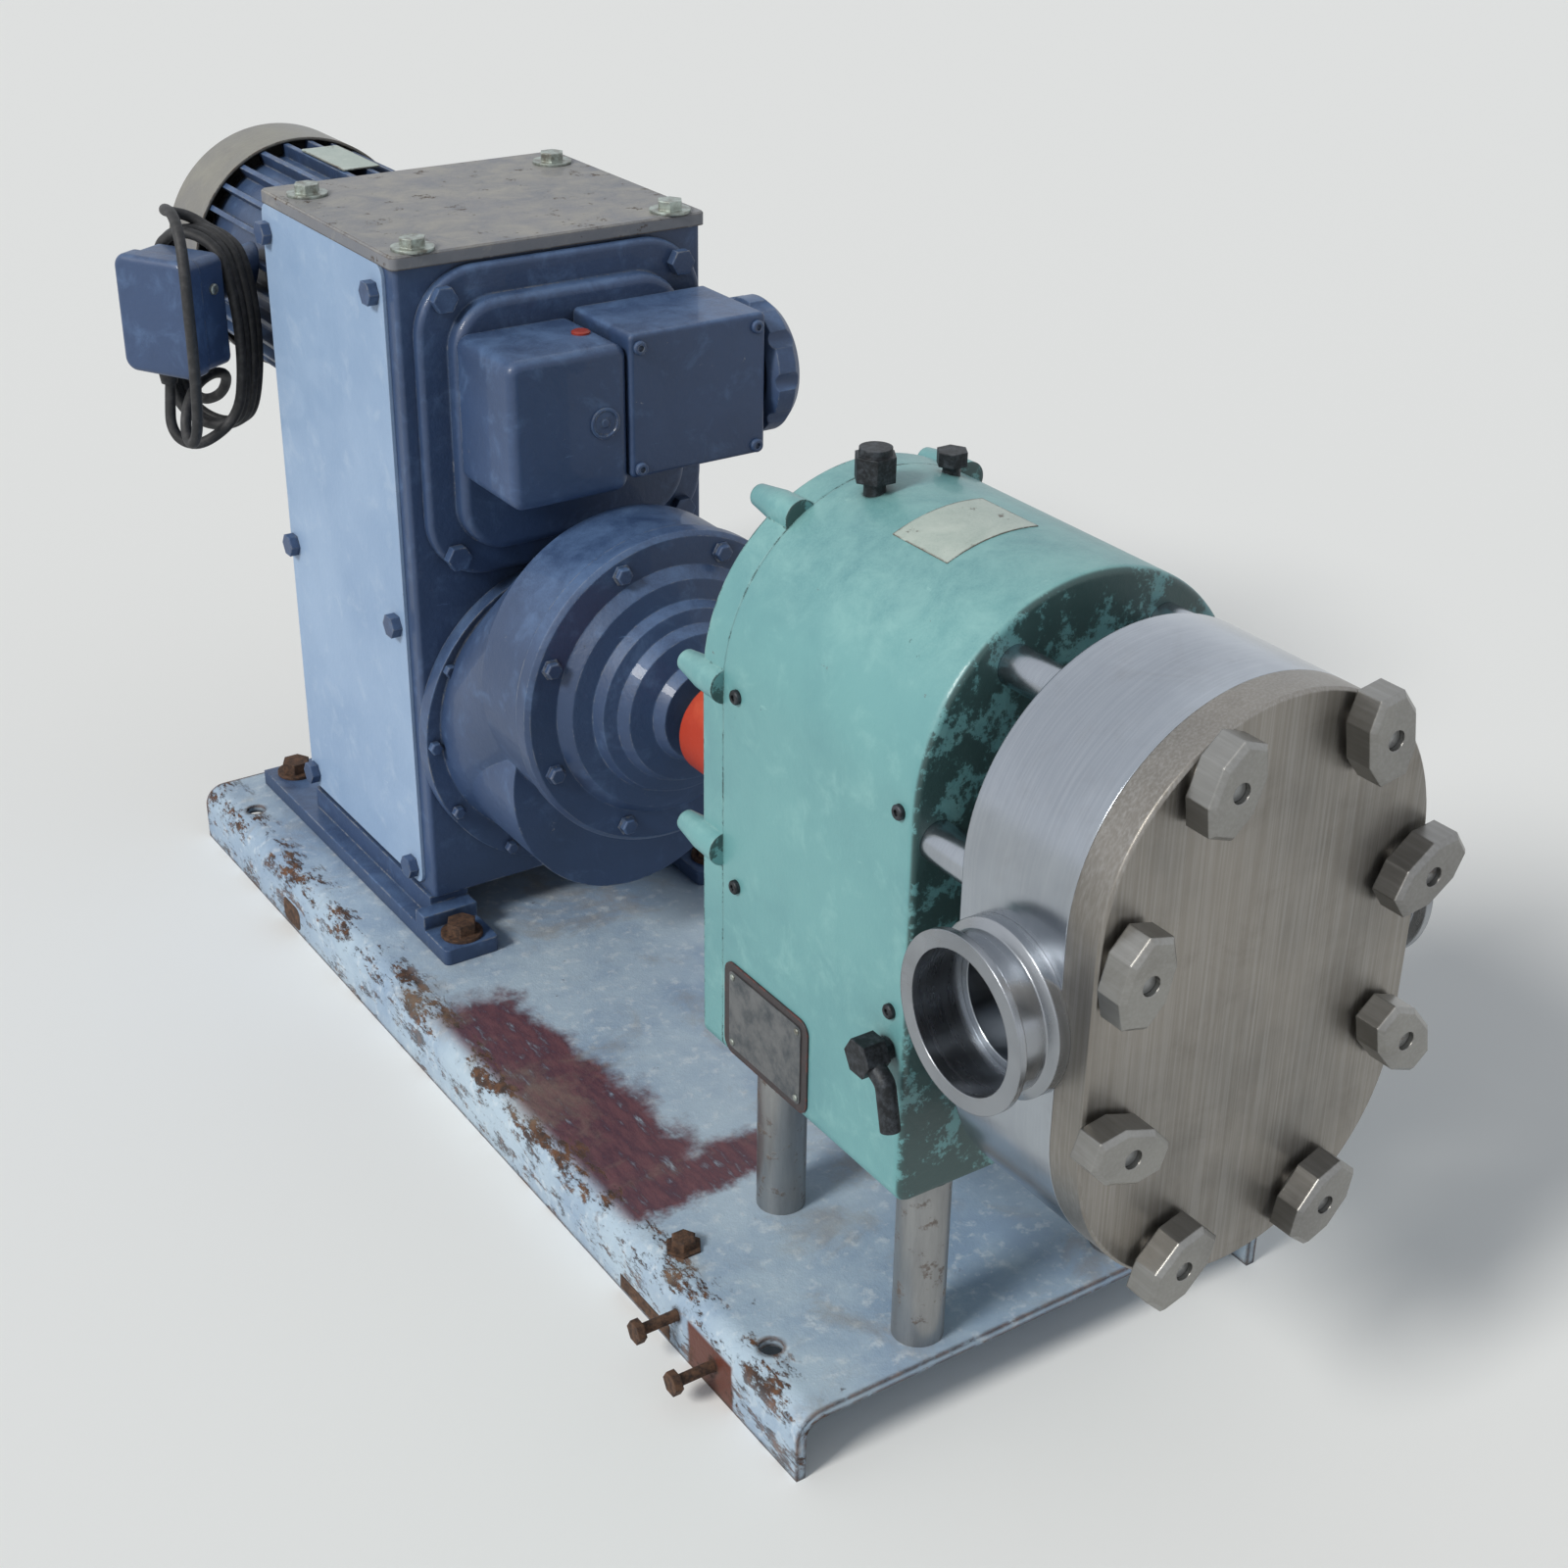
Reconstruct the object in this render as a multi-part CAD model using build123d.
"""Rotary lobe pump unit: lobe pump head, timing gear case, reducer, belt variator and motor on one base.

Millimetres, +Z up. While it is modelled, x = 0 is the pump's centre plane, y = 0 the front edge of
the base and z = 0 the floor; the front of the pump looks along -Y. The finished pieces are shifted
together so that the origin is the middle of the unit's footprint.
"""
import os
from math import acos, cos, hypot, pi, radians, sin, sqrt, tan

from build123d import *

# Fits used all over the unit
RUNNING_FIT = 0.05      # radial gap of a turning shaft in its bearing
SLIDE_FIT = 0.2         # radial gap of a bolt or stud in its hole
FACE_GAP = 0.3          # gap between faces that move past each other

# Base
BASE_WIDTH = 341.0
BASE_LENGTH = 858.0
BASE_HEIGHT = 44.0
BASE_PLATE = 6.0
BASE_BEND = 16.0
ANCHOR_INSET = 20.5
ANCHOR_X = BASE_WIDTH / 2 - ANCHOR_INSET
ANCHOR_FRONT = 57.0
ANCHOR_REAR = BASE_LENGTH - ANCHOR_FRONT
ANCHOR_R = 7.0

# Shafts of the pump
PUMP_Z = 326.5
SHAFT_SPACING = 110.0
SHAFT_R = 17.5
ROTOR_SHAFT_R = 14.0

# Rotor case and cover
HEAD_R = 104.0
CASE_FRONT = -107.0
CASE_REAR = -31.0
CASE_BACK_WALL = 8.0
COVER_THICKNESS = 22.0
ROTOR_BORE_R = 74.0
ROTOR_TIP_GAP = 0.7
PORT_Y = -71.0
PORT_R = 32.0
FERRULE_REACH = 134.0
FERRULE_BORE_R = 36.5
FERRULE_FLANGE_R = 45.5
STUD_R = 5.0
STUD_RING_R = 90.0
SPACER_R = 11.0
NUT_LONG = 46.0
NUT_WIDE = 29.0
NUT_THICK = 20.0

# Gear case
GEARCASE_R = 105.0
GEARCASE_FRONT = 7.0
GEARCASE_REAR = 179.0
GEARCASE_BOTTOM = 155.0
GEARCASE_ARCH_Z = 391.0
GEARCASE_WALL = 12.0
FRONT_WALL = 22.0
REAR_COVER = 20.0
BEARING_R = 36.0
BEARING_WIDTH = 17.0
SEAL_R = 30.0
POST_R = 15.0
POST_X = 73.0
POST_YS = (24.0, 163.0)
EAR_REACH = 20.0

# Timing gears
GEAR_MODULE = 5.0
GEAR_TEETH = 22
GEAR_WIDTH = 34.0
GEAR_START = 80.0
BACKLASH = 0.9

# Coupling
COUPLING_R = 33.0
COUPLING_START = 226.0
COUPLING_HUB = 52.0
SPIDER_WIDTH = 14.0

# Reducer
REDUCER_Z = PUMP_Z - SHAFT_SPACING / 2
REDUCER_FLANGE_R = 109.0
REDUCER_FLANGE_Y = 405.0
REDUCER_FLANGE_THICK = 14.0
REDUCER_SHAFT_R = 16.0
REDUCTION_MODULE = 3.0
PINION_TEETH = 15
WHEEL_TEETH = 33
REDUCTION_WIDTH = 30.0
REDUCTION_START = 446.0
REAR_RING_R = 115.0
REDUCER_WALL = 9.0

# Variator
VARIATOR_X = 2.0
VARIATOR_WIDTH = 226.0
VARIATOR_FRONT = 556.0
VARIATOR_DEPTH = 206.0
VARIATOR_BOTTOM = 73.0
VARIATOR_TOP = 530.0
VARIATOR_WALL = 10.0
TOP_PLATE = 9.0
TOP_PLATE_LAP = 3.0
PANEL_THICK = 2.5
PANEL_BOLT_FOOT = 15.0
PANEL_BOLT_HEAD = 20.0
PANEL_BOLT_MIDDLE = VARIATOR_BOTTOM + (VARIATOR_TOP - VARIATOR_BOTTOM) * 0.4486
CONTROL_X = 5.0
CONTROL_TOP_MARGIN = 2.0
CONTROL_CLEARANCE = 1.5
CONTROL_OUTER = 106.0
CONTROL_BORDER = 20.0
CONTROL_STEP_1 = 8.0
CONTROL_STEP_2 = 12.0
CONTROL_BOLT_INSET = 18.0
BLOCK_CLEARANCE = 9.5
GEARBOX_STEP = 8.0
BLOCK_TOP_MARGIN = 42.0
GEARBOX_TOP_MARGIN = 36.0
BLOCK_REACH = 85.0
SPINDLE_SEAT = 38.0
CONTROL_REACH = 93.0
HOUSING_FRONT = VARIATOR_FRONT - CONTROL_REACH
GEARBOX_RIGHT = 108.0
HANDWHEEL_R = 46.0
HANDWHEEL_THICK = 24.0
HANDWHEEL_REACH = 51.0
HANDWHEEL_Y = VARIATOR_FRONT - HANDWHEEL_REACH
HANDWHEEL_DROP = 1.0
SPINDLE_R = 8.0
FOOT_OUT = 126.0
FOOT_IN = 84.0
FOOT_LEAD = 46.0
FOOT_TRAIL = 77.0
FOOT_FRONT = VARIATOR_FRONT - FOOT_LEAD
FOOT_REAR = VARIATOR_FRONT + VARIATOR_DEPTH + FOOT_TRAIL
FOOT_PAD = 12.0
BELT_THICK = 8.0
BELT_WIDTH = 28.0
DRIVE_PULLEY_R = 52.0
DRIVEN_PULLEY_R = 62.0

# Motor
MOTOR_DROP = 101.0
MOTOR_Z = VARIATOR_TOP - MOTOR_DROP
MOTOR_CORE_R = 80.0
MOTOR_RIB_R = 90.0
MOTOR_FLANGE_R = 96.0
MOTOR_FLANGE_THICK = 22.0
MOTOR_LENGTH = 194.0
MOTOR_SHAFT_R = 12.0
RIB_THICK = 4.0
RIB_COUNT = 28
COWL_R = 93.0
COWL_LENGTH = 72.0
COWL_WALL = 2.0
FAN_R = 78.0

# Motor lead, wound into a hank that hangs on the neck of the terminal box
LEAD_R = 4.0
TERMINAL_WIDTH = 66.0
TERMINAL_HEIGHT = 86.0
TERMINAL_DEPTH = 26.0
LID_DEPTH = 16.0
TERMINAL_TURN = -60.0
TERMINAL_OUT = 180.0
TERMINAL_BACK = 58.0
TERMINAL_RISE = 14.0
TERMINAL_FACE = (-TERMINAL_OUT, VARIATOR_FRONT + VARIATOR_DEPTH + TERMINAL_BACK, MOTOR_Z + TERMINAL_RISE)
NECK_R = 16.0
NECK_RISE = 12.0
HANK_SHIFT = -4.0
HANK_TALL = 160.0
HANK_WIDE = 110.0
HANK_THICK = 26.0
PLUG_R = 10.0
PLUG_LENGTH = 34.0
PLUG_RISE = -10.0

finished = {}


def node(name, shape):
    """Keep a finished piece under its node's name."""
    finished[name] = shape


def span(x0, x1, y0, y1, z0, z1):
    """Block between two corners."""
    centre = ((x0 + x1) / 2, (y0 + y1) / 2, (z0 + z1) / 2)
    return Pos(*centre) * Box(x1 - x0, y1 - y0, z1 - z0)


def along_y(x, z, r, y0, y1):
    """Round bar along Y."""
    return Pos(x, (y0 + y1) / 2, z) * Rot(90, 0, 0) * Cylinder(r, y1 - y0)


def along_x(y, z, r, x0, x1):
    """Round bar along X."""
    return Pos((x0 + x1) / 2, y, z) * Rot(0, 90, 0) * Cylinder(r, x1 - x0)


def along_z(x, y, r, z0, z1):
    """Round bar along Z."""
    return Pos(x, y, (z0 + z1) / 2) * Cylinder(r, z1 - z0)


def ring_y(x, z, r_in, r_out, y0, y1):
    """Plain ring about an axis along Y."""
    return along_y(x, z, r_out, y0, y1) - along_y(x, z, r_in, y0, y1)


def upright(sketch, y0, y1):
    """Extrude a sketch, drawn in X and Z, from y0 back to y1."""
    return extrude(Plane.XZ.offset(-y0) * sketch, amount=-(y1 - y0))


def turned_y(x, z, outline):
    """Revolve an outline of (radius, y) points about an axis along Y."""
    points = [(x + r, y, z) for r, y in outline]
    face = make_face(Polyline(*points, close=True))
    return revolve(face, Axis((x, 0, z), (0, 1, 0)))


def turned_x(y, z, outline):
    """Revolve an outline of (radius, x) points about an axis along X."""
    points = [(x, y, z + r) for r, x in outline]
    face = make_face(Polyline(*points, close=True))
    return revolve(face, Axis((0, y, z), (1, 0, 0)))


def hexagon_y(x, z, r, y0, y1, turn=0.0):
    """Hexagonal head whose axis lies along Y."""
    return upright(Pos(x, z) * Rot(0, 0, turn) * RegularPolygon(r, 6), y0, y1)


def hexagon_z(x, y, r, z0, z1):
    """Hexagonal head whose axis stands up."""
    return Pos(x, y, z0) * extrude(RegularPolygon(r, 6), amount=z1 - z0)


def hexagon_x(y, z, r, x0, x1):
    """Hexagonal head whose axis lies along X."""
    return extrude(Plane.YZ.offset(x0) * Pos(y, z) * RegularPolygon(r, 6), amount=x1 - x0)


LOWER_Z = PUMP_Z - SHAFT_SPACING / 2
UPPER_Z = PUMP_Z + SHAFT_SPACING / 2
COVER_FRONT = CASE_FRONT - COVER_THICKNESS
STUD_PLACES = []
for side, height in ((1, 1), (-1, 1), (1, -1), (-1, -1)):
    for angle in (-5.0, 58.0):
        reach_x = STUD_RING_R * cos(radians(angle))
        reach_z = SHAFT_SPACING / 2 + STUD_RING_R * sin(radians(angle))
        STUD_PLACES.append((side * reach_x, PUMP_Z + height * reach_z))


# ---------------------------------------------------------------- base
def base():
    """Folded channel: a deck with a leg bent down along each long side."""
    half = BASE_WIDTH / 2
    outer = Pos(0, BASE_HEIGHT / 2) * Rectangle(BASE_WIDTH, BASE_HEIGHT)
    outer = fillet(outer.vertices().group_by(Axis.Y)[-1], BASE_BEND)
    inner = Rectangle(BASE_WIDTH - 2 * BASE_PLATE, 2 * (BASE_HEIGHT - BASE_PLATE))
    inner = fillet(inner.vertices().group_by(Axis.Y)[-1], BASE_BEND - BASE_PLATE)
    deck = upright(outer - inner, 0, BASE_LENGTH)
    for x in (-ANCHOR_X, ANCHOR_X):
        for y in (ANCHOR_FRONT, ANCHOR_REAR):
            deck -= along_z(x, y, ANCHOR_R, 0, BASE_HEIGHT + 1)
    for y, z in SIDE_BOLTS:
        deck -= along_x(y, z, SIDE_BOLT_R + SLIDE_FIT, -half - 1, -half + BASE_PLATE + 1)
        deck -= along_x(y, z, SIDE_NUT_SEAT, -half + BASE_PLATE, -half + BASE_PLATE + SIDE_NUT_SEAT)
    return deck


SIDE_BOLTS = ((85.0, 19.0), (125.0, 27.0))
SIDE_BOLT_R = 3.5
SIDE_NUT_SEAT = 9.0
SIDE_BOLT_OUT = 24.0
node("base_plate", base())

side_bolts = []
for bolt_y, bolt_z in SIDE_BOLTS:
    leg_out = -BASE_WIDTH / 2
    leg_in = leg_out + BASE_PLATE
    bolt = along_x(bolt_y, bolt_z, SIDE_BOLT_R, leg_out - SIDE_BOLT_OUT, leg_in + 8)
    bolt += hexagon_x(bolt_y, bolt_z, 7.5, leg_out - SIDE_BOLT_OUT - 5, leg_out - SIDE_BOLT_OUT)
    bolt += hexagon_x(bolt_y, bolt_z, 7.5, leg_in, leg_in + 6)
    side_bolts.append(bolt)
node("base_side_bolts", Compound(children=side_bolts))

posts = []
for x in (-POST_X, POST_X):
    for y in POST_YS:
        posts.append(along_z(x, y, POST_R, BASE_HEIGHT, GEARCASE_BOTTOM))
node("support_posts", Compound(children=posts))


# ---------------------------------------------------------------- gear case
def arch(half_width, bottom):
    """Round-topped outline of the gear case, drawn in X and Z."""
    tall = GEARCASE_ARCH_Z - bottom
    body = Pos(0, bottom + tall / 2) * Rectangle(2 * half_width, tall)
    outline = body + Pos(0, GEARCASE_ARCH_Z) * Circle(half_width)
    return fillet(outline.vertices().group_by(Axis.Y)[0], min(10.0, half_width / 9))


def gear_case():
    """Casting that carries both shafts: arched tunnel with a thick front wall."""
    cavity_front = GEARCASE_FRONT + FRONT_WALL
    case = upright(arch(GEARCASE_R, GEARCASE_BOTTOM), GEARCASE_FRONT, GEARCASE_REAR)
    inside = arch(GEARCASE_R - GEARCASE_WALL, GEARCASE_BOTTOM + GEARCASE_WALL)
    case -= upright(inside, cavity_front, GEARCASE_REAR)
    case = fillet(case.edges().filter_by(GeomType.CIRCLE).group_by(Axis.Y)[0].sort_by(Axis.Z)[-1:], 4.0)
    for z in (LOWER_Z, UPPER_Z):
        case -= along_y(0, z, BEARING_R, cavity_front - BEARING_WIDTH - 2, cavity_front + 1)
        case -= along_y(0, z, SEAL_R - 6, GEARCASE_FRONT - 1, cavity_front)
    for x, z in STUD_PLACES:
        case -= along_y(x, z, STUD_R + SLIDE_FIT, GEARCASE_FRONT - 1, cavity_front - 6)
    case -= along_z(BREATHER[0], BREATHER[1], BREATHER_R, BREATHER[2] - 12, BREATHER[2] + 20)
    case -= along_z(FILLER[0], FILLER[1], FILLER_R, FILLER[2] - 12, FILLER[2] + 20)
    case -= along_x(DRAIN[0], DRAIN[1], DRAIN_R, -GEARCASE_R - 1, -GEARCASE_R + 6)
    return case


BREATHER = (-24.0, 158.0, 492.0)
BREATHER_R = 6.0
FILLER = (30.0, 162.0, 491.0)
FILLER_R = 5.0
DRAIN = (20.0, 250.0)
DRAIN_R = 6.0
node("gear_case", gear_case())

breather = along_z(BREATHER[0], BREATHER[1], BREATHER_R, BREATHER[2] - 12, BREATHER[2] + 14)
breather += hexagon_z(BREATHER[0], BREATHER[1], 12.0, BREATHER[2] + 8, BREATHER[2] + 22)
breather += along_z(BREATHER[0], BREATHER[1], 9.0, BREATHER[2] + 22, BREATHER[2] + 26)
node("breather", breather)

filler = along_z(FILLER[0], FILLER[1], FILLER_R, FILLER[2] - 12, FILLER[2] + 8)
filler += hexagon_z(FILLER[0], FILLER[1], 9.0, FILLER[2] + 6, FILLER[2] + 14)
node("filler_plug", filler)

drain = along_x(DRAIN[0], DRAIN[1], DRAIN_R, -GEARCASE_R - 8, -GEARCASE_R + 6)
drain += hexagon_x(DRAIN[0], DRAIN[1], 11.0, -GEARCASE_R - 20, -GEARCASE_R - 6)
elbow_path = FilletPolyline(
    (-GEARCASE_R - 13, DRAIN[0], DRAIN[1]),
    (-GEARCASE_R - 13, DRAIN[0] - 16, DRAIN[1] - 8),
    (-GEARCASE_R - 13, DRAIN[0] - 22, DRAIN[1] - 34),
    radius=8.0,
)
drain += sweep(Plane(elbow_path @ 0, z_dir=elbow_path % 0) * Circle(5.5), path=elbow_path)
node("drain_fitting", drain)


def rear_cover():
    """Cover that closes the gear case and carries the rear bearings; ears with long bosses stand round it."""
    rear = GEARCASE_REAR + REAR_COVER
    cover = upright(arch(GEARCASE_R, GEARCASE_BOTTOM), GEARCASE_REAR, rear)
    cover += along_y(0, LOWER_Z, BEARING_R + 8, rear, rear + 8)
    for x, z in EARS:
        cover += turned_y(x, z, [(0, GEARCASE_REAR), (10, GEARCASE_REAR), (9.5, rear),
                                 (6.5, rear + EAR_REACH), (0, rear + EAR_REACH)])
    for z in (LOWER_Z, UPPER_Z):
        cover -= along_y(0, z, BEARING_R, GEARCASE_REAR - 1, GEARCASE_REAR + BEARING_WIDTH)
    cover -= along_y(0, LOWER_Z, SHAFT_R + 2, GEARCASE_REAR, rear + 9)
    return cover


EARS = [(side * x, z) for side in (-1, 1) for x, z in ((103.0, 391.0), (104.0, 291.0), (56.0, 478.0))]
node("gear_case_rear_cover", rear_cover())

front_seat = GEARCASE_FRONT + FRONT_WALL - BEARING_WIDTH - 2
bearings = []
for start in (front_seat, GEARCASE_REAR):
    for z in (LOWER_Z, UPPER_Z):
        bearings.append(ring_y(0, z, SHAFT_R + RUNNING_FIT, BEARING_R, start, start + BEARING_WIDTH))
node("shaft_bearings", Compound(children=bearings))


# ---------------------------------------------------------------- pump head
def obround(r):
    """Two half circles about the shaft axes, joined by straight sides."""
    return Pos(0, PUMP_Z) * Rot(0, 0, 90) * SlotCenterToCenter(SHAFT_SPACING, 2 * r)


def rotor_case():
    """Stainless body with two crossing bores, a back wall and a port on each side."""
    case = upright(obround(HEAD_R), CASE_FRONT, CASE_REAR)
    for z in (LOWER_Z, UPPER_Z):
        case -= along_y(0, z, ROTOR_BORE_R, CASE_FRONT - 1, CASE_REAR - CASE_BACK_WALL)
        case -= along_y(0, z, SEAL_R, CASE_REAR - CASE_BACK_WALL - 1, CASE_REAR + 1)
    case -= along_x(PORT_Y, PUMP_Z, PORT_R, -HEAD_R - 1, HEAD_R + 1)
    for x, z in STUD_PLACES:
        case -= along_y(x, z, STUD_R + SLIDE_FIT, CASE_FRONT - 1, CASE_REAR + 1)
    return case


node("rotor_case", rotor_case())

for name, side in (("inlet_ferrule", -1), ("outlet_ferrule", 1)):
    neck_r = FERRULE_BORE_R + 3.5
    outline = [
        (FERRULE_BORE_R, side * HEAD_R),
        (neck_r + 5, side * HEAD_R),
        (neck_r + 5, side * (HEAD_R + 7)),
        (neck_r, side * (HEAD_R + 10)),
        (neck_r, side * (FERRULE_REACH - 7)),
        (FERRULE_FLANGE_R, side * (FERRULE_REACH - 4)),
        (FERRULE_FLANGE_R, side * FERRULE_REACH),
        (FERRULE_BORE_R, side * FERRULE_REACH),
    ]
    node(name, turned_x(PORT_Y, PUMP_Z, outline))

cover = upright(obround(HEAD_R), COVER_FRONT, CASE_FRONT)
cover = chamfer(cover.edges().group_by(Axis.Y)[0], 1.5)
for x, z in STUD_PLACES:
    cover -= along_y(x, z, STUD_R + SLIDE_FIT, COVER_FRONT - 1, CASE_FRONT + 1)
ROTOR_NUT_R = 22.0
ROTOR_NUT_HEIGHT = 10.0
for z in (LOWER_Z, UPPER_Z):
    recess = CASE_FRONT - ROTOR_NUT_HEIGHT - 2
    cover -= along_y(0, z, ROTOR_NUT_R + 2, recess, CASE_FRONT + 1)
node("front_cover", cover)


def cover_nut(x, z, lean):
    """Forged cover nut: a lozenge block with pointed ends and a relieved foot."""
    half, flat = NUT_LONG / 2, NUT_WIDE / 2
    tip = NUT_WIDE / 4
    outline = Polyline((half, -tip), (half, tip), (half / 2.4, flat), (-half / 2.4, flat), (-half, tip),
                       (-half, -tip), (-half / 2.4, -flat), (half / 2.4, -flat), close=True)
    face = Pos(x, z) * Rot(0, 0, lean) * make_face(outline)
    block = upright(face, COVER_FRONT - NUT_THICK, COVER_FRONT - 3)
    block = chamfer(block.edges().group_by(Axis.Y)[0], 2.5)
    block += along_y(x, z, 11.0, COVER_FRONT - 3, COVER_FRONT)
    block -= along_y(x, z, STUD_R + SLIDE_FIT, COVER_FRONT - NUT_THICK - 1, COVER_FRONT + 1)
    return block


NUT_LEAN = (35.0, 100.0, 75.0, 70.0, 130.0, 50.0, 160.0, 45.0)
stud_front = COVER_FRONT - NUT_THICK + 3
stud_rear = GEARCASE_FRONT + FRONT_WALL - 6
studs = [along_y(x, z, STUD_R, stud_front, stud_rear) for x, z in STUD_PLACES]
node("cover_studs", Compound(children=studs))
spacers = [ring_y(x, z, STUD_R + SLIDE_FIT, SPACER_R, CASE_REAR, GEARCASE_FRONT) for x, z in STUD_PLACES]
node("stud_spacers", Compound(children=spacers))
nuts = [cover_nut(x, z, lean) for (x, z), lean in zip(STUD_PLACES, NUT_LEAN)]
node("cover_nuts", Compound(children=nuts))


# ---------------------------------------------------------------- pump shafts, seals, rotors, timing gears
def lobe_rotor(z):
    """Three-lobed rotor on a cycloid: lobe tips roll outside the pitch circle, roots inside it."""
    lobes = 3
    pitch = SHAFT_SPACING / 2
    rolling = pitch / (2 * lobes)
    trim = ROTOR_TIP_GAP / 2
    steps = 8
    points = []
    for part in range(2 * lobes):
        outside = part % 2 == 0
        for step in range(steps):
            t = 2 * rolling / pitch * pi * (step + 0.5) / steps
            angle = part * pi / lobes + t - pi / (2 * lobes) + pi / 2
            roll = t * pitch / rolling
            if outside:
                x = (pitch + rolling) * cos(angle) - rolling * cos(angle + roll)
                y = (pitch + rolling) * sin(angle) - rolling * sin(angle + roll)
            else:
                x = (pitch - rolling) * cos(angle) + rolling * cos(angle - roll)
                y = (pitch - rolling) * sin(angle) + rolling * sin(angle - roll)
            to_pitch = (pitch * cos(angle) - x, pitch * sin(angle) - y)
            inward = trim / hypot(*to_pitch) * (1 if outside else -1)
            points.append((x + to_pitch[0] * inward, y + to_pitch[1] * inward))
    face = make_face(Spline(*points, periodic=True))
    face -= Circle(ROTOR_SHAFT_R)
    front = CASE_FRONT + FACE_GAP
    rear = CASE_REAR - CASE_BACK_WALL - FACE_GAP
    return upright(Pos(0, z) * face, front, rear)


def gear_outline(module, teeth, first, backlash):
    """Involute gear outline; one tooth is centred on the angle first, in degrees."""
    pitch = module * teeth / 2
    pressure = radians(20)
    base_r = pitch * cos(pressure)
    root = pitch - 1.25 * module
    tip = pitch + 0.85 * module

    def half_angle(r):
        if r <= base_r:
            lean = 0.0
        else:
            working = acos(base_r / r)
            lean = tan(working) - working
        return pi / (2 * teeth) + tan(pressure) - pressure - lean - backlash / (2 * pitch)

    radii = (root, base_r, (base_r + tip) / 2, tip)
    points = []
    for tooth in range(teeth):
        middle = radians(first) + 2 * pi * tooth / teeth
        points += [(r * cos(middle - half_angle(r)), r * sin(middle - half_angle(r))) for r in radii]
        points += [(r * cos(middle + half_angle(r)), r * sin(middle + half_angle(r))) for r in reversed(radii)]
    return make_face(Polyline(*points, close=True))


half_tooth = 180.0 / GEAR_TEETH
seals = []
for level, z, first in (("lower", LOWER_Z, 90.0), ("upper", UPPER_Z, -90.0 + half_tooth)):
    shaft_rear = COUPLING_START + COUPLING_HUB - 2 if level == "lower" else GEARCASE_REAR + BEARING_WIDTH - 1
    shaft = along_y(0, z, ROTOR_SHAFT_R, CASE_FRONT - 2, CASE_REAR - CASE_BACK_WALL)
    shaft += along_y(0, z, SHAFT_R, CASE_REAR - CASE_BACK_WALL, shaft_rear)
    node(f"pump_shaft_{level}", shaft)
    nut = turned_y(0, z, [(0, CASE_FRONT - ROTOR_NUT_HEIGHT), (12, CASE_FRONT - ROTOR_NUT_HEIGHT),
                          (ROTOR_NUT_R, CASE_FRONT - 4), (ROTOR_NUT_R, CASE_FRONT + FACE_GAP),
                          (ROTOR_SHAFT_R, CASE_FRONT + FACE_GAP), (ROTOR_SHAFT_R, CASE_FRONT - 2),
                          (0, CASE_FRONT - 2)])
    node(f"rotor_nut_{level}", nut)
    seals.append(ring_y(0, z, SHAFT_R + RUNNING_FIT, SEAL_R, CASE_REAR - CASE_BACK_WALL + 1, CASE_REAR + 14))
    node(f"rotor_{level}", lobe_rotor(z))
    teeth = gear_outline(GEAR_MODULE, GEAR_TEETH, first, BACKLASH) - Circle(SHAFT_R)
    node(f"timing_gear_{level}", upright(Pos(0, z) * teeth, GEAR_START, GEAR_START + GEAR_WIDTH))


node("shaft_seals", Compound(children=seals))


# ---------------------------------------------------------------- coupling
SPIDER_START = COUPLING_START + COUPLING_HUB
node("coupling_hub_pump", ring_y(0, LOWER_Z, SHAFT_R, COUPLING_R, COUPLING_START, SPIDER_START))
node("coupling_spider", along_y(0, LOWER_Z, COUPLING_R - 3, SPIDER_START, SPIDER_START + SPIDER_WIDTH))
hub_start = SPIDER_START + SPIDER_WIDTH
node("coupling_hub_drive", ring_y(0, LOWER_Z, REDUCER_SHAFT_R, COUPLING_R, hub_start, hub_start + COUPLING_HUB))


# ---------------------------------------------------------------- reducer
PINION_Z = REDUCER_Z - REDUCTION_MODULE * (PINION_TEETH + WHEEL_TEETH) / 2
REDUCER_BODY_FRONT = REDUCER_FLANGE_Y + REDUCER_FLANGE_THICK
RING_THICK = 12.0
WHEEL_ROOM = REDUCTION_MODULE * WHEEL_TEETH / 2 + 8
REDUCTION_END = REDUCTION_START + REDUCTION_WIDTH


def reducer_housing():
    """Casting between the cover and the variator: a round front that falls back to a lower rear ring."""
    ring_front = VARIATOR_FRONT - RING_THICK
    front = along_y(0, REDUCER_Z, REDUCER_FLANGE_R - 3, REDUCER_BODY_FRONT, REDUCER_BODY_FRONT + 52)
    waist = loft([
        Plane.XZ.offset(-(REDUCER_BODY_FRONT + 52)) * Pos(0, REDUCER_Z) * Circle(REDUCER_FLANGE_R - 3),
        Plane.XZ.offset(-ring_front) * Pos(0, PINION_Z + 8) * Circle(REAR_RING_R - 11),
    ])
    body = front + waist + along_y(0, PINION_Z, REAR_RING_R, ring_front, VARIATOR_FRONT)
    body += along_y(0, PINION_Z - 6, REAR_RING_R - 22, REDUCER_BODY_FRONT + 40, ring_front)
    body -= along_y(0, REDUCER_Z, WHEEL_ROOM, REDUCER_BODY_FRONT, REDUCTION_END + 6)
    body -= along_y(0, PINION_Z, REDUCTION_MODULE * PINION_TEETH / 2 + 8, REDUCER_BODY_FRONT, REDUCTION_END + 6)
    body -= along_y(0, PINION_Z, REDUCER_SHAFT_R + RUNNING_FIT, REDUCTION_END, VARIATOR_FRONT + 1)
    body -= along_y(0, REDUCER_Z, REDUCER_SHAFT_R + RUNNING_FIT, REDUCTION_END, REDUCTION_END + 30)
    return body


node("reducer_housing", reducer_housing())

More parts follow.
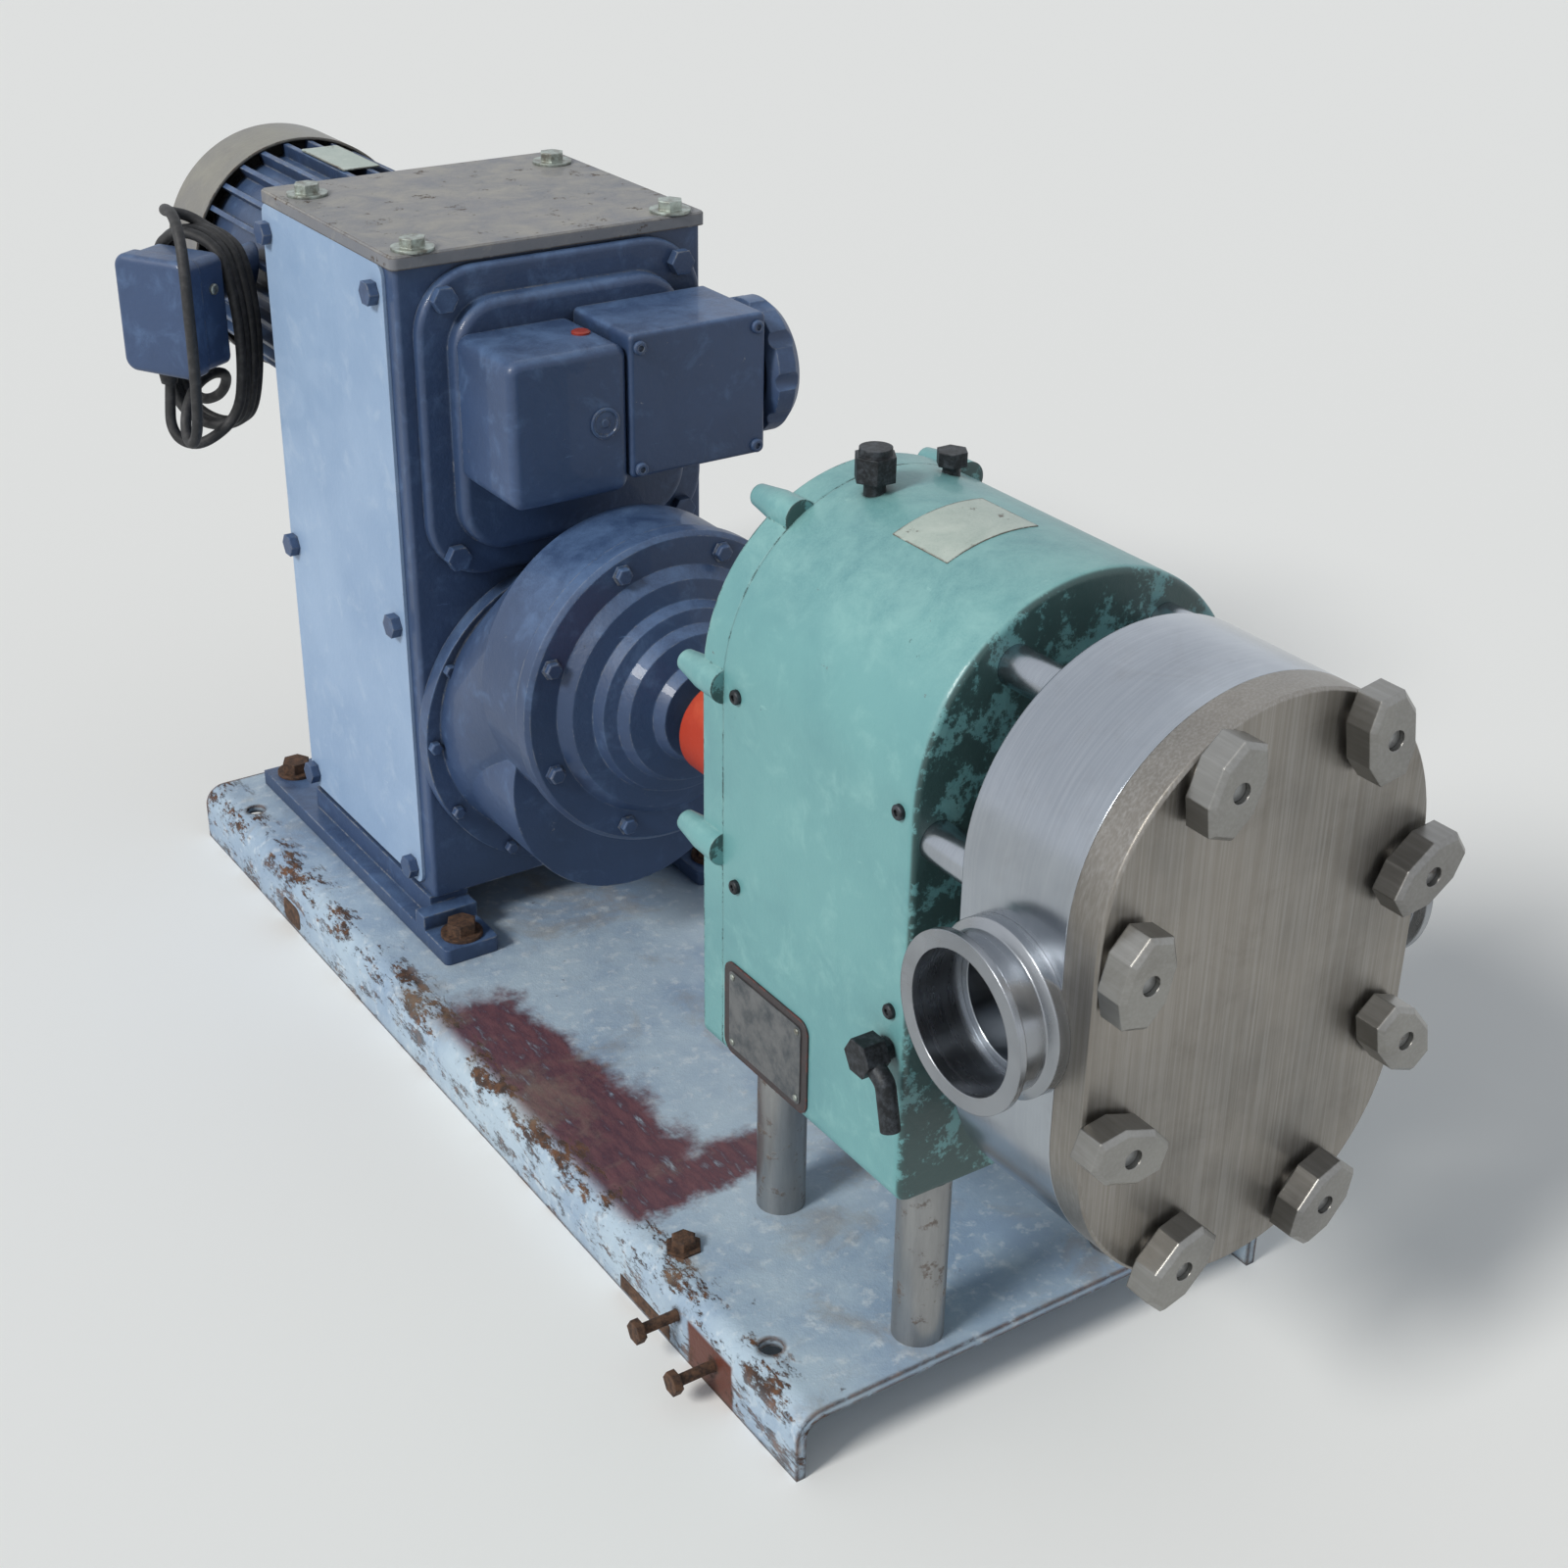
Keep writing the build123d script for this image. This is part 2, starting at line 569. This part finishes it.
flange_front = REDUCER_FLANGE_Y
dome = turned_y(0, REDUCER_Z, [
    (REDUCER_SHAFT_R + RUNNING_FIT, REDUCER_BODY_FRONT), (REDUCER_FLANGE_R, REDUCER_BODY_FRONT),
    (REDUCER_FLANGE_R, flange_front + 3), (REDUCER_FLANGE_R - 3, flange_front),
    (87, flange_front), (80, flange_front - 8), (67, flange_front - 11), (64, flange_front - 19),
    (55, flange_front - 22), (51, flange_front - 30), (36, flange_front - 34), (32, flange_front - 42),
    (REDUCER_SHAFT_R + RUNNING_FIT, flange_front - 42),
])
node("reducer_cover", dome)

drive_gear = gear_outline(REDUCTION_MODULE, WHEEL_TEETH, -90.0, 0.6) - Circle(REDUCER_SHAFT_R)
node("reducer_wheel", upright(Pos(0, REDUCER_Z) * drive_gear, REDUCTION_START, REDUCTION_END))
wheel_shaft = along_y(0, REDUCER_Z, REDUCER_SHAFT_R, SPIDER_START + SPIDER_WIDTH + 2, REDUCTION_END + 25)
node("reducer_output_shaft", wheel_shaft)
pinion = gear_outline(REDUCTION_MODULE, PINION_TEETH, 90.0 + 180.0 / PINION_TEETH, 0.6)
pinion_body = upright(Pos(0, PINION_Z) * pinion, REDUCTION_START, REDUCTION_END)
PULLEY_INSET = 84.0
PULLEY_FRONT = VARIATOR_FRONT + PULLEY_INSET
PULLEY_CHEEK = 8.0
PULLEY_REAR = PULLEY_FRONT + BELT_WIDTH + 2 * PULLEY_CHEEK
pinion_body += along_y(0, PINION_Z, REDUCER_SHAFT_R, REDUCTION_END, PULLEY_REAR + 20)
node("reducer_pinion_shaft", pinion_body)


# ---------------------------------------------------------------- variator
def pulley(x, z, groove_r, bore):
    """Variable pulley: two cones that grip the belt between them."""
    mid_front = PULLEY_FRONT + PULLEY_CHEEK
    mid_rear = mid_front + BELT_WIDTH
    return turned_y(x, z, [
        (bore, PULLEY_FRONT), (groove_r + 14, PULLEY_FRONT), (groove_r + 12, PULLEY_FRONT + 3),
        (groove_r, mid_front), (groove_r, mid_rear), (groove_r + 12, PULLEY_REAR - 3),
        (groove_r + 14, PULLEY_REAR), (bore, PULLEY_REAR),
    ])


LEFT_WALL = VARIATOR_X - VARIATOR_WIDTH / 2
RIGHT_WALL = VARIATOR_X + VARIATOR_WIDTH / 2
VARIATOR_REAR = VARIATOR_FRONT + VARIATOR_DEPTH


def variator_housing():
    """Cast box with front, rear and floor, open at both sides and at the top."""
    wall = VARIATOR_WALL
    box = span(LEFT_WALL, RIGHT_WALL, VARIATOR_FRONT, VARIATOR_REAR, VARIATOR_BOTTOM, VARIATOR_TOP)
    box = fillet(box.edges().filter_by(Axis.Z), 3.0)
    box -= span(LEFT_WALL + 14, RIGHT_WALL - 14, VARIATOR_FRONT + wall, VARIATOR_REAR - wall,
                VARIATOR_BOTTOM + wall, VARIATOR_TOP + 1)
    box -= span(LEFT_WALL - 1, RIGHT_WALL + 1, VARIATOR_FRONT + 38, VARIATOR_REAR - 38,
                VARIATOR_BOTTOM + 34, VARIATOR_TOP - 34)
    box -= along_y(0, PINION_Z, REDUCER_SHAFT_R + RUNNING_FIT, VARIATOR_FRONT - 1, VARIATOR_FRONT + wall + 1)
    box -= along_y(VARIATOR_X, MOTOR_Z, MOTOR_SHAFT_R + 3, VARIATOR_REAR - wall - 1, VARIATOR_REAR + 1)
    return box


node("variator_housing", variator_housing())
top_rim = TOP_PLATE_LAP
lid = span(LEFT_WALL - top_rim, RIGHT_WALL + top_rim, VARIATOR_FRONT - top_rim, VARIATOR_REAR + top_rim,
           VARIATOR_TOP, VARIATOR_TOP + TOP_PLATE)
lid = fillet(lid.edges().filter_by(Axis.Z), 5.0)
node("variator_top_plate", chamfer(lid.edges().group_by(Axis.Z)[-1], 1.2))

TOP_BOLTS = [(VARIATOR_X + sx * 95, VARIATOR_FRONT + dy) for sx in (-1, 1) for dy in (9, 174)]
top_bolts = []
for x, y in TOP_BOLTS:
    top = VARIATOR_TOP + TOP_PLATE
    top_bolts.append(along_z(x, y, 14.0, top, top + 2) + hexagon_z(x, y, 9.0, top + 2, top + 8))
node("top_plate_bolts", Compound(children=top_bolts))

variator_bolts = []
for name, wall_x, side in (("side_panel_left", LEFT_WALL, -1), ("side_panel_right", RIGHT_WALL, 1)):
    x0, x1 = sorted((wall_x, wall_x + side * PANEL_THICK))
    panel = span(x0, x1, VARIATOR_FRONT + 14, VARIATOR_REAR + 3, VARIATOR_BOTTOM + 4, VARIATOR_TOP)
    node(name, fillet(panel.edges().filter_by(Axis.X), 9.0))
    for y in (VARIATOR_FRONT + 27, VARIATOR_REAR - 5):
        for z in (VARIATOR_BOTTOM + PANEL_BOLT_FOOT, PANEL_BOLT_MIDDLE, VARIATOR_TOP - PANEL_BOLT_HEAD):
            h0, h1 = sorted((wall_x + side * PANEL_THICK, wall_x + side * (PANEL_THICK + 7)))
            variator_bolts.append(hexagon_x(y, z, 8.5, h0, h1))


CONTROL_LOW = PINION_Z + REAR_RING_R + CONTROL_CLEARANCE
CONTROL_HIGH = VARIATOR_TOP - CONTROL_TOP_MARGIN
CONTROL_Z = (CONTROL_LOW + CONTROL_HIGH) / 2
CONTROL_TALL = (CONTROL_HIGH - CONTROL_LOW) / 2


def inner_outline():
    """Outline of the raised middle of the control cover."""
    return Pos(CONTROL_X, CONTROL_Z) * RectangleRounded(
        2 * (CONTROL_OUTER - CONTROL_BORDER), 2 * (CONTROL_TALL - CONTROL_BORDER), 34.0)


def squircle(plate, y0, y1, edge):
    """Plate with large round corners and a rounded front edge."""
    solid = upright(plate, y0, y1)
    return fillet(solid.edges().group_by(Axis.Y)[0], edge)


control_front = VARIATOR_FRONT - CONTROL_STEP_1
outer_outline = Pos(CONTROL_X, CONTROL_Z) * RectangleRounded(2 * CONTROL_OUTER, 2 * CONTROL_TALL, 44.0)
control_cover = squircle(outer_outline, control_front, VARIATOR_FRONT, 4.0)
control_cover += squircle(inner_outline(), control_front - CONTROL_STEP_2, control_front, 6.0)
node("control_cover", control_cover)
for sx in (-1, 1):
    for sz in (-1, 1):
        bolt_x = CONTROL_X + sx * (CONTROL_OUTER - CONTROL_BOLT_INSET)
        bolt_z = CONTROL_Z + sz * (CONTROL_TALL - CONTROL_BOLT_INSET)
        head = hexagon_y(bolt_x, bolt_z, 9.0, control_front - 7, control_front)
        variator_bolts.append(head - upright(inner_outline(), control_front - 8, control_front))
node("variator_bolts", Compound(children=variator_bolts))


def housing_block(x0, x1, z0, z1, y_front, corner):
    """Cast block on the control cover with its long edges rounded."""
    block = span(x0, x1, y_front, control_front - CONTROL_STEP_2, z0, z1)
    block = fillet(block.edges().filter_by(Axis.Y), corner)
    return fillet(block.edges().group_by(Axis.Y)[0], corner * 0.7)


SPLIT_X = CONTROL_X
BLOCK_LOW = REDUCER_Z + REDUCER_FLANGE_R + BLOCK_CLEARANCE
GEARBOX_LOW = BLOCK_LOW + GEARBOX_STEP
GEARBOX_HIGH = VARIATOR_TOP - GEARBOX_TOP_MARGIN
HANDWHEEL_Z = (GEARBOX_LOW + GEARBOX_HIGH) / 2 - HANDWHEEL_DROP
left_block = housing_block(CONTROL_X - BLOCK_REACH, SPLIT_X, BLOCK_LOW, VARIATOR_TOP - BLOCK_TOP_MARGIN,
                           HOUSING_FRONT + 2, 9.0)
node("control_housing", left_block)
gearbox = housing_block(SPLIT_X, GEARBOX_RIGHT, GEARBOX_LOW, GEARBOX_HIGH, HOUSING_FRONT, 4.0)
gearbox -= along_x(HANDWHEEL_Y, HANDWHEEL_Z, SPINDLE_R + RUNNING_FIT, GEARBOX_RIGHT - SPINDLE_SEAT, GEARBOX_RIGHT + 1.0)
node("control_gearbox", gearbox)

wheel_start = GEARBOX_RIGHT + 4
wheel_end = wheel_start + HANDWHEEL_THICK
wheel = turned_x(HANDWHEEL_Y, HANDWHEEL_Z, [
    (SPINDLE_R, wheel_start), (HANDWHEEL_R - 8, wheel_start), (HANDWHEEL_R, wheel_start + 5),
    (HANDWHEEL_R, wheel_end - 6), (HANDWHEEL_R - 5, wheel_end), (HANDWHEEL_R - 12, wheel_end - 1),
    (HANDWHEEL_R - 16, wheel_end - 7), (20, wheel_end - 7), (16, wheel_end), (SPINDLE_R, wheel_end),
])
GRIP_COUNT = 10
for grip in range(GRIP_COUNT):
    turn = 2 * pi * grip / GRIP_COUNT
    centre_y = HANDWHEEL_Y + (HANDWHEEL_R + 5) * cos(turn)
    centre_z = HANDWHEEL_Z + (HANDWHEEL_R + 5) * sin(turn)
    wheel -= along_x(centre_y, centre_z, 8.0, wheel_start - 1, wheel_end + 1)
node("handwheel", wheel + along_x(HANDWHEEL_Y, HANDWHEEL_Z, SPINDLE_R, GEARBOX_RIGHT - SPINDLE_SEAT + 1, wheel_end - 1))

node("variator_pulley_lower", pulley(0, PINION_Z, DRIVEN_PULLEY_R, REDUCER_SHAFT_R))
node("variator_pulley_upper", pulley(VARIATOR_X, MOTOR_Z, DRIVE_PULLEY_R, MOTOR_SHAFT_R))


def belt():
    """Wide variator belt round both pulleys, straight between them."""
    half_lower = DRIVEN_PULLEY_R + FACE_GAP
    half_upper = DRIVE_PULLEY_R + FACE_GAP
    distance = MOTOR_Z - PINION_Z

    def loop(grow):
        low, high = half_lower + grow, half_upper + grow
        slope = (low - high) / distance
        rise = sqrt(1 - slope * slope)
        points = [(-low * rise, PINION_Z + low * slope), (low * rise, PINION_Z + low * slope),
                  (VARIATOR_X + high * rise, MOTOR_Z + high * slope),
                  (VARIATOR_X - high * rise, MOTOR_Z + high * slope)]
        run = make_face(Polyline(*points, close=True))
        return run + Pos(0, PINION_Z) * Circle(low) + Pos(VARIATOR_X, MOTOR_Z) * Circle(high)

    front = PULLEY_FRONT + PULLEY_CHEEK + BELT_WIDTH * 0.2
    ring = loop(BELT_THICK) - loop(0)
    return upright(ring, front, front + BELT_WIDTH * 0.6)


node("variator_belt", belt())

for name, side in (("variator_foot_left", -1), ("variator_foot_right", 1)):
    out_x, in_x = side * FOOT_OUT, side * FOOT_IN
    x0, x1 = sorted((out_x, in_x))
    rail = span(x0, x1, FOOT_FRONT, FOOT_REAR, BASE_HEIGHT, BASE_HEIGHT + FOOT_PAD)
    r0, r1 = sorted((side * (FOOT_OUT - 12), in_x))
    rail += span(r0, r1, VARIATOR_FRONT + 2, VARIATOR_REAR - 2, BASE_HEIGHT + FOOT_PAD, VARIATOR_BOTTOM)
    rail += span(x0, x1, VARIATOR_FRONT - 12, VARIATOR_FRONT + 2, BASE_HEIGHT + FOOT_PAD, VARIATOR_BOTTOM - 6)
    rail = fillet(rail.edges().filter_by(Axis.Z).group_by(Axis.Y)[0], 4.0)
    node(name, rail)
foot_bolts = []
for side in (-1, 1):
    for y in (FOOT_FRONT + 17, FOOT_REAR - 17):
        top = BASE_HEIGHT + FOOT_PAD
        x = side * (FOOT_OUT + FOOT_IN) / 2
        foot_bolts.append(along_z(x, y, 15.0, top, top + 2.5) + hexagon_z(x, y, 11.0, top + 2.5, top + 11))
node("foot_bolts", Compound(children=foot_bolts))


# ---------------------------------------------------------------- motor
motor_front = VARIATOR_REAR
shell_front = motor_front + MOTOR_FLANGE_THICK
shell_rear = shell_front + MOTOR_LENGTH
flange = ring_y(VARIATOR_X, MOTOR_Z, MOTOR_SHAFT_R + RUNNING_FIT, MOTOR_FLANGE_R, motor_front, shell_front)
node("motor_flange", chamfer(flange.edges().group_by(Axis.Y)[-1].sort_by(Axis.X)[-1:], 2.0))

shell = ring_y(VARIATOR_X, MOTOR_Z, MOTOR_SHAFT_R + RUNNING_FIT, MOTOR_CORE_R, shell_front, shell_rear)
rib_tall = MOTOR_RIB_R - MOTOR_CORE_R + 3
ribs = []
for count in range(RIB_COUNT):
    turn = 360 / RIB_COUNT * (count + 0.5)
    rib = Box(rib_tall, shell_rear - shell_front, RIB_THICK)
    middle = MOTOR_RIB_R - rib_tall / 2
    ribs.append(Pos(VARIATOR_X, (shell_front + shell_rear) / 2, MOTOR_Z) * Rot(0, turn, 0) * Pos(middle, 0, 0) * rib)
node("motor_housing", shell + ribs)

cowl_front = shell_rear - 6
cowl_rear = shell_rear + COWL_LENGTH - 6
cowl = turned_y(VARIATOR_X, MOTOR_Z, [
    (COWL_R - COWL_WALL, cowl_front), (COWL_R, cowl_front), (COWL_R, cowl_rear - 12), (COWL_R - 4, cowl_rear - 4),
    (COWL_R - 12, cowl_rear), (28, cowl_rear), (28, cowl_rear - COWL_WALL), (COWL_R - 13, cowl_rear - COWL_WALL),
    (COWL_R - 6, cowl_rear - 5), (COWL_R - COWL_WALL, cowl_rear - 13),
])
node("fan_cowl", cowl)
motor_shaft = along_y(VARIATOR_X, MOTOR_Z, MOTOR_SHAFT_R, PULLEY_FRONT, shell_rear + 34)
node("motor_shaft", motor_shaft)
fan_front = shell_rear + 8
fan = ring_y(VARIATOR_X, MOTOR_Z, MOTOR_SHAFT_R, 24.0, fan_front, fan_front + 24)
fan += ring_y(VARIATOR_X, MOTOR_Z, 22.0, FAN_R, fan_front, fan_front + 3)
for blade in range(7):
    turn = 360 / 7 * blade
    vane = Pos(VARIATOR_X, fan_front + 14, MOTOR_Z) * Rot(0, turn, 0) * Pos((FAN_R + 20) / 2, 0, 0)
    fan += vane * Box(FAN_R - 20, 24, 3)
node("cooling_fan", fan)


# ---------------------------------------------------------------- terminal box and motor lead
def in_box(shape):
    """Place a piece drawn about the middle of the lid's face, with the face towards -Y."""
    return Pos(*TERMINAL_FACE) * Rot(0, 0, TERMINAL_TURN) * shape


lid = Pos(0, LID_DEPTH / 2, 0) * Box(TERMINAL_WIDTH, LID_DEPTH, TERMINAL_HEIGHT)
lid = fillet(lid.edges().filter_by(Axis.Y), 10.0)
lid = fillet(lid.edges().group_by(Axis.Y)[0], 5.0)
node("terminal_box_lid", in_box(lid))
case_w, case_h = TERMINAL_WIDTH - 4, TERMINAL_HEIGHT - 4
box_mid = LID_DEPTH + TERMINAL_DEPTH / 2
neck_start = LID_DEPTH + TERMINAL_DEPTH
NECK_SPARE = 90.0
terminal = fillet((Pos(0, box_mid, 0) * Box(case_w, TERMINAL_DEPTH, case_h)).edges().filter_by(Axis.Y), 8.0)
terminal += Pos(0, neck_start + NECK_SPARE / 2, NECK_RISE) * Rot(90, 0, 0) * Cylinder(NECK_R, NECK_SPARE)
terminal = in_box(terminal) - along_y(VARIATOR_X, MOTOR_Z, MOTOR_RIB_R + FACE_GAP, shell_front - 40, shell_rear + 40)
node("terminal_box", terminal.solids().sort_by(Axis.X)[0])

GLAND_LENGTH = 16.0
GLAND_X = -15.0
gland_y = LID_DEPTH + 10
gland_end = -case_h / 2 - GLAND_LENGTH
node("cable_gland", in_box(Pos(GLAND_X, gland_y, gland_end + GLAND_LENGTH / 2) * Cone(6.0, 8.5, GLAND_LENGTH)))

hank_front = neck_start + 3
hank_rear = hank_front + HANK_THICK
hole_wide = HANK_WIDE / 2 - HANK_THICK
hole_tall = HANK_TALL / 2 - HANK_THICK
HANG_GAP = 0.5
hank_lift = sqrt((hole_wide - NECK_R - HANG_GAP) ** 2 - HANK_SHIFT ** 2)
hank_z = NECK_RISE - hank_lift - hole_tall + hole_wide
hank_low = hank_z - HANK_TALL / 2

LEAD_ROUTE = (
    (GLAND_X, gland_y, gland_end),
    (GLAND_X, gland_y, gland_end - 15),
    (GLAND_X + 4, gland_y + 2, gland_end - 30),
    (GLAND_X + 18, gland_y + 6, gland_end - 37),
    (GLAND_X + 26, hank_front, hank_low + HANK_THICK / 2),
)


def lead_tube():
    """Free stretch of the lead from the gland to the hank, drawn about the lid's face."""
    radii = []
    for before, corner, after in zip(LEAD_ROUTE, LEAD_ROUTE[1:], LEAD_ROUTE[2:]):
        a = Vector(*corner) - Vector(*before)
        b = Vector(*after) - Vector(*corner)
        radii.append(0.45 * min(a.length, b.length) / tan(radians(a.get_angle(b)) / 2))
    print("lead radii", [round(r, 1) for r in radii])
    path = FilletPolyline(*LEAD_ROUTE, radius=radii)
    tube = sweep(Plane(path @ 0, z_dir=path % 0) * Circle(LEAD_R), path=path)
    print("lead tube", round(path.length, 1), round(tube.volume / (pi * LEAD_R ** 2 * path.length), 3))
    return tube


def hank_solid():
    """Outer shape of the wound lead: a tall ring that hangs on the neck."""
    face = Plane((HANK_SHIFT, hank_front, hank_z), x_dir=(0, 0, 1), z_dir=(0, 1, 0))
    ring = SlotOverall(HANK_TALL, HANK_WIDE)
    ring -= SlotOverall(HANK_TALL - 2 * HANK_THICK, HANK_WIDE - 2 * HANK_THICK)
    return extrude(face * ring, amount=HANK_THICK)


hank = hank_solid()
node("motor_lead", in_box(lead_tube() - hank))
node("motor_lead_hank", in_box(hank))
plug_y = hank_rear + PLUG_R + FACE_GAP
plug_x = HANK_SHIFT - HANK_WIDE / 2 + HANK_THICK / 2
plug = Pos(plug_x, plug_y, hank_z + PLUG_RISE) * Cylinder(PLUG_R, PLUG_LENGTH)
plug += Pos(plug_x, plug_y, hank_z + PLUG_RISE - PLUG_LENGTH / 2 - 6) * Cone(5.0, PLUG_R - 3, 12)
node("lead_plug", in_box(plug))

# ---------------------------------------------------------------- write the pieces
CORD_NODES = ("motor_lead", "motor_lead_hank", "lead_plug")
boxes = [shape.bounding_box() for name, shape in finished.items() if name not in CORD_NODES]
middle_x = (min(b.min.X for b in boxes) + max(b.max.X for b in boxes)) / 2
middle_y = (min(b.min.Y for b in boxes) + max(b.max.Y for b in boxes)) / 2
floor_z = min(b.min.Z for b in boxes)
print("origin in skid frame", round(middle_x, 3), round(middle_y, 3), round(floor_z, 3), "nodes", len(finished))

os.makedirs("parts", exist_ok=True)
for name, shape in finished.items():
    export_step(Pos(-middle_x, -middle_y, -floor_z) * shape, f"parts/{name}.step")
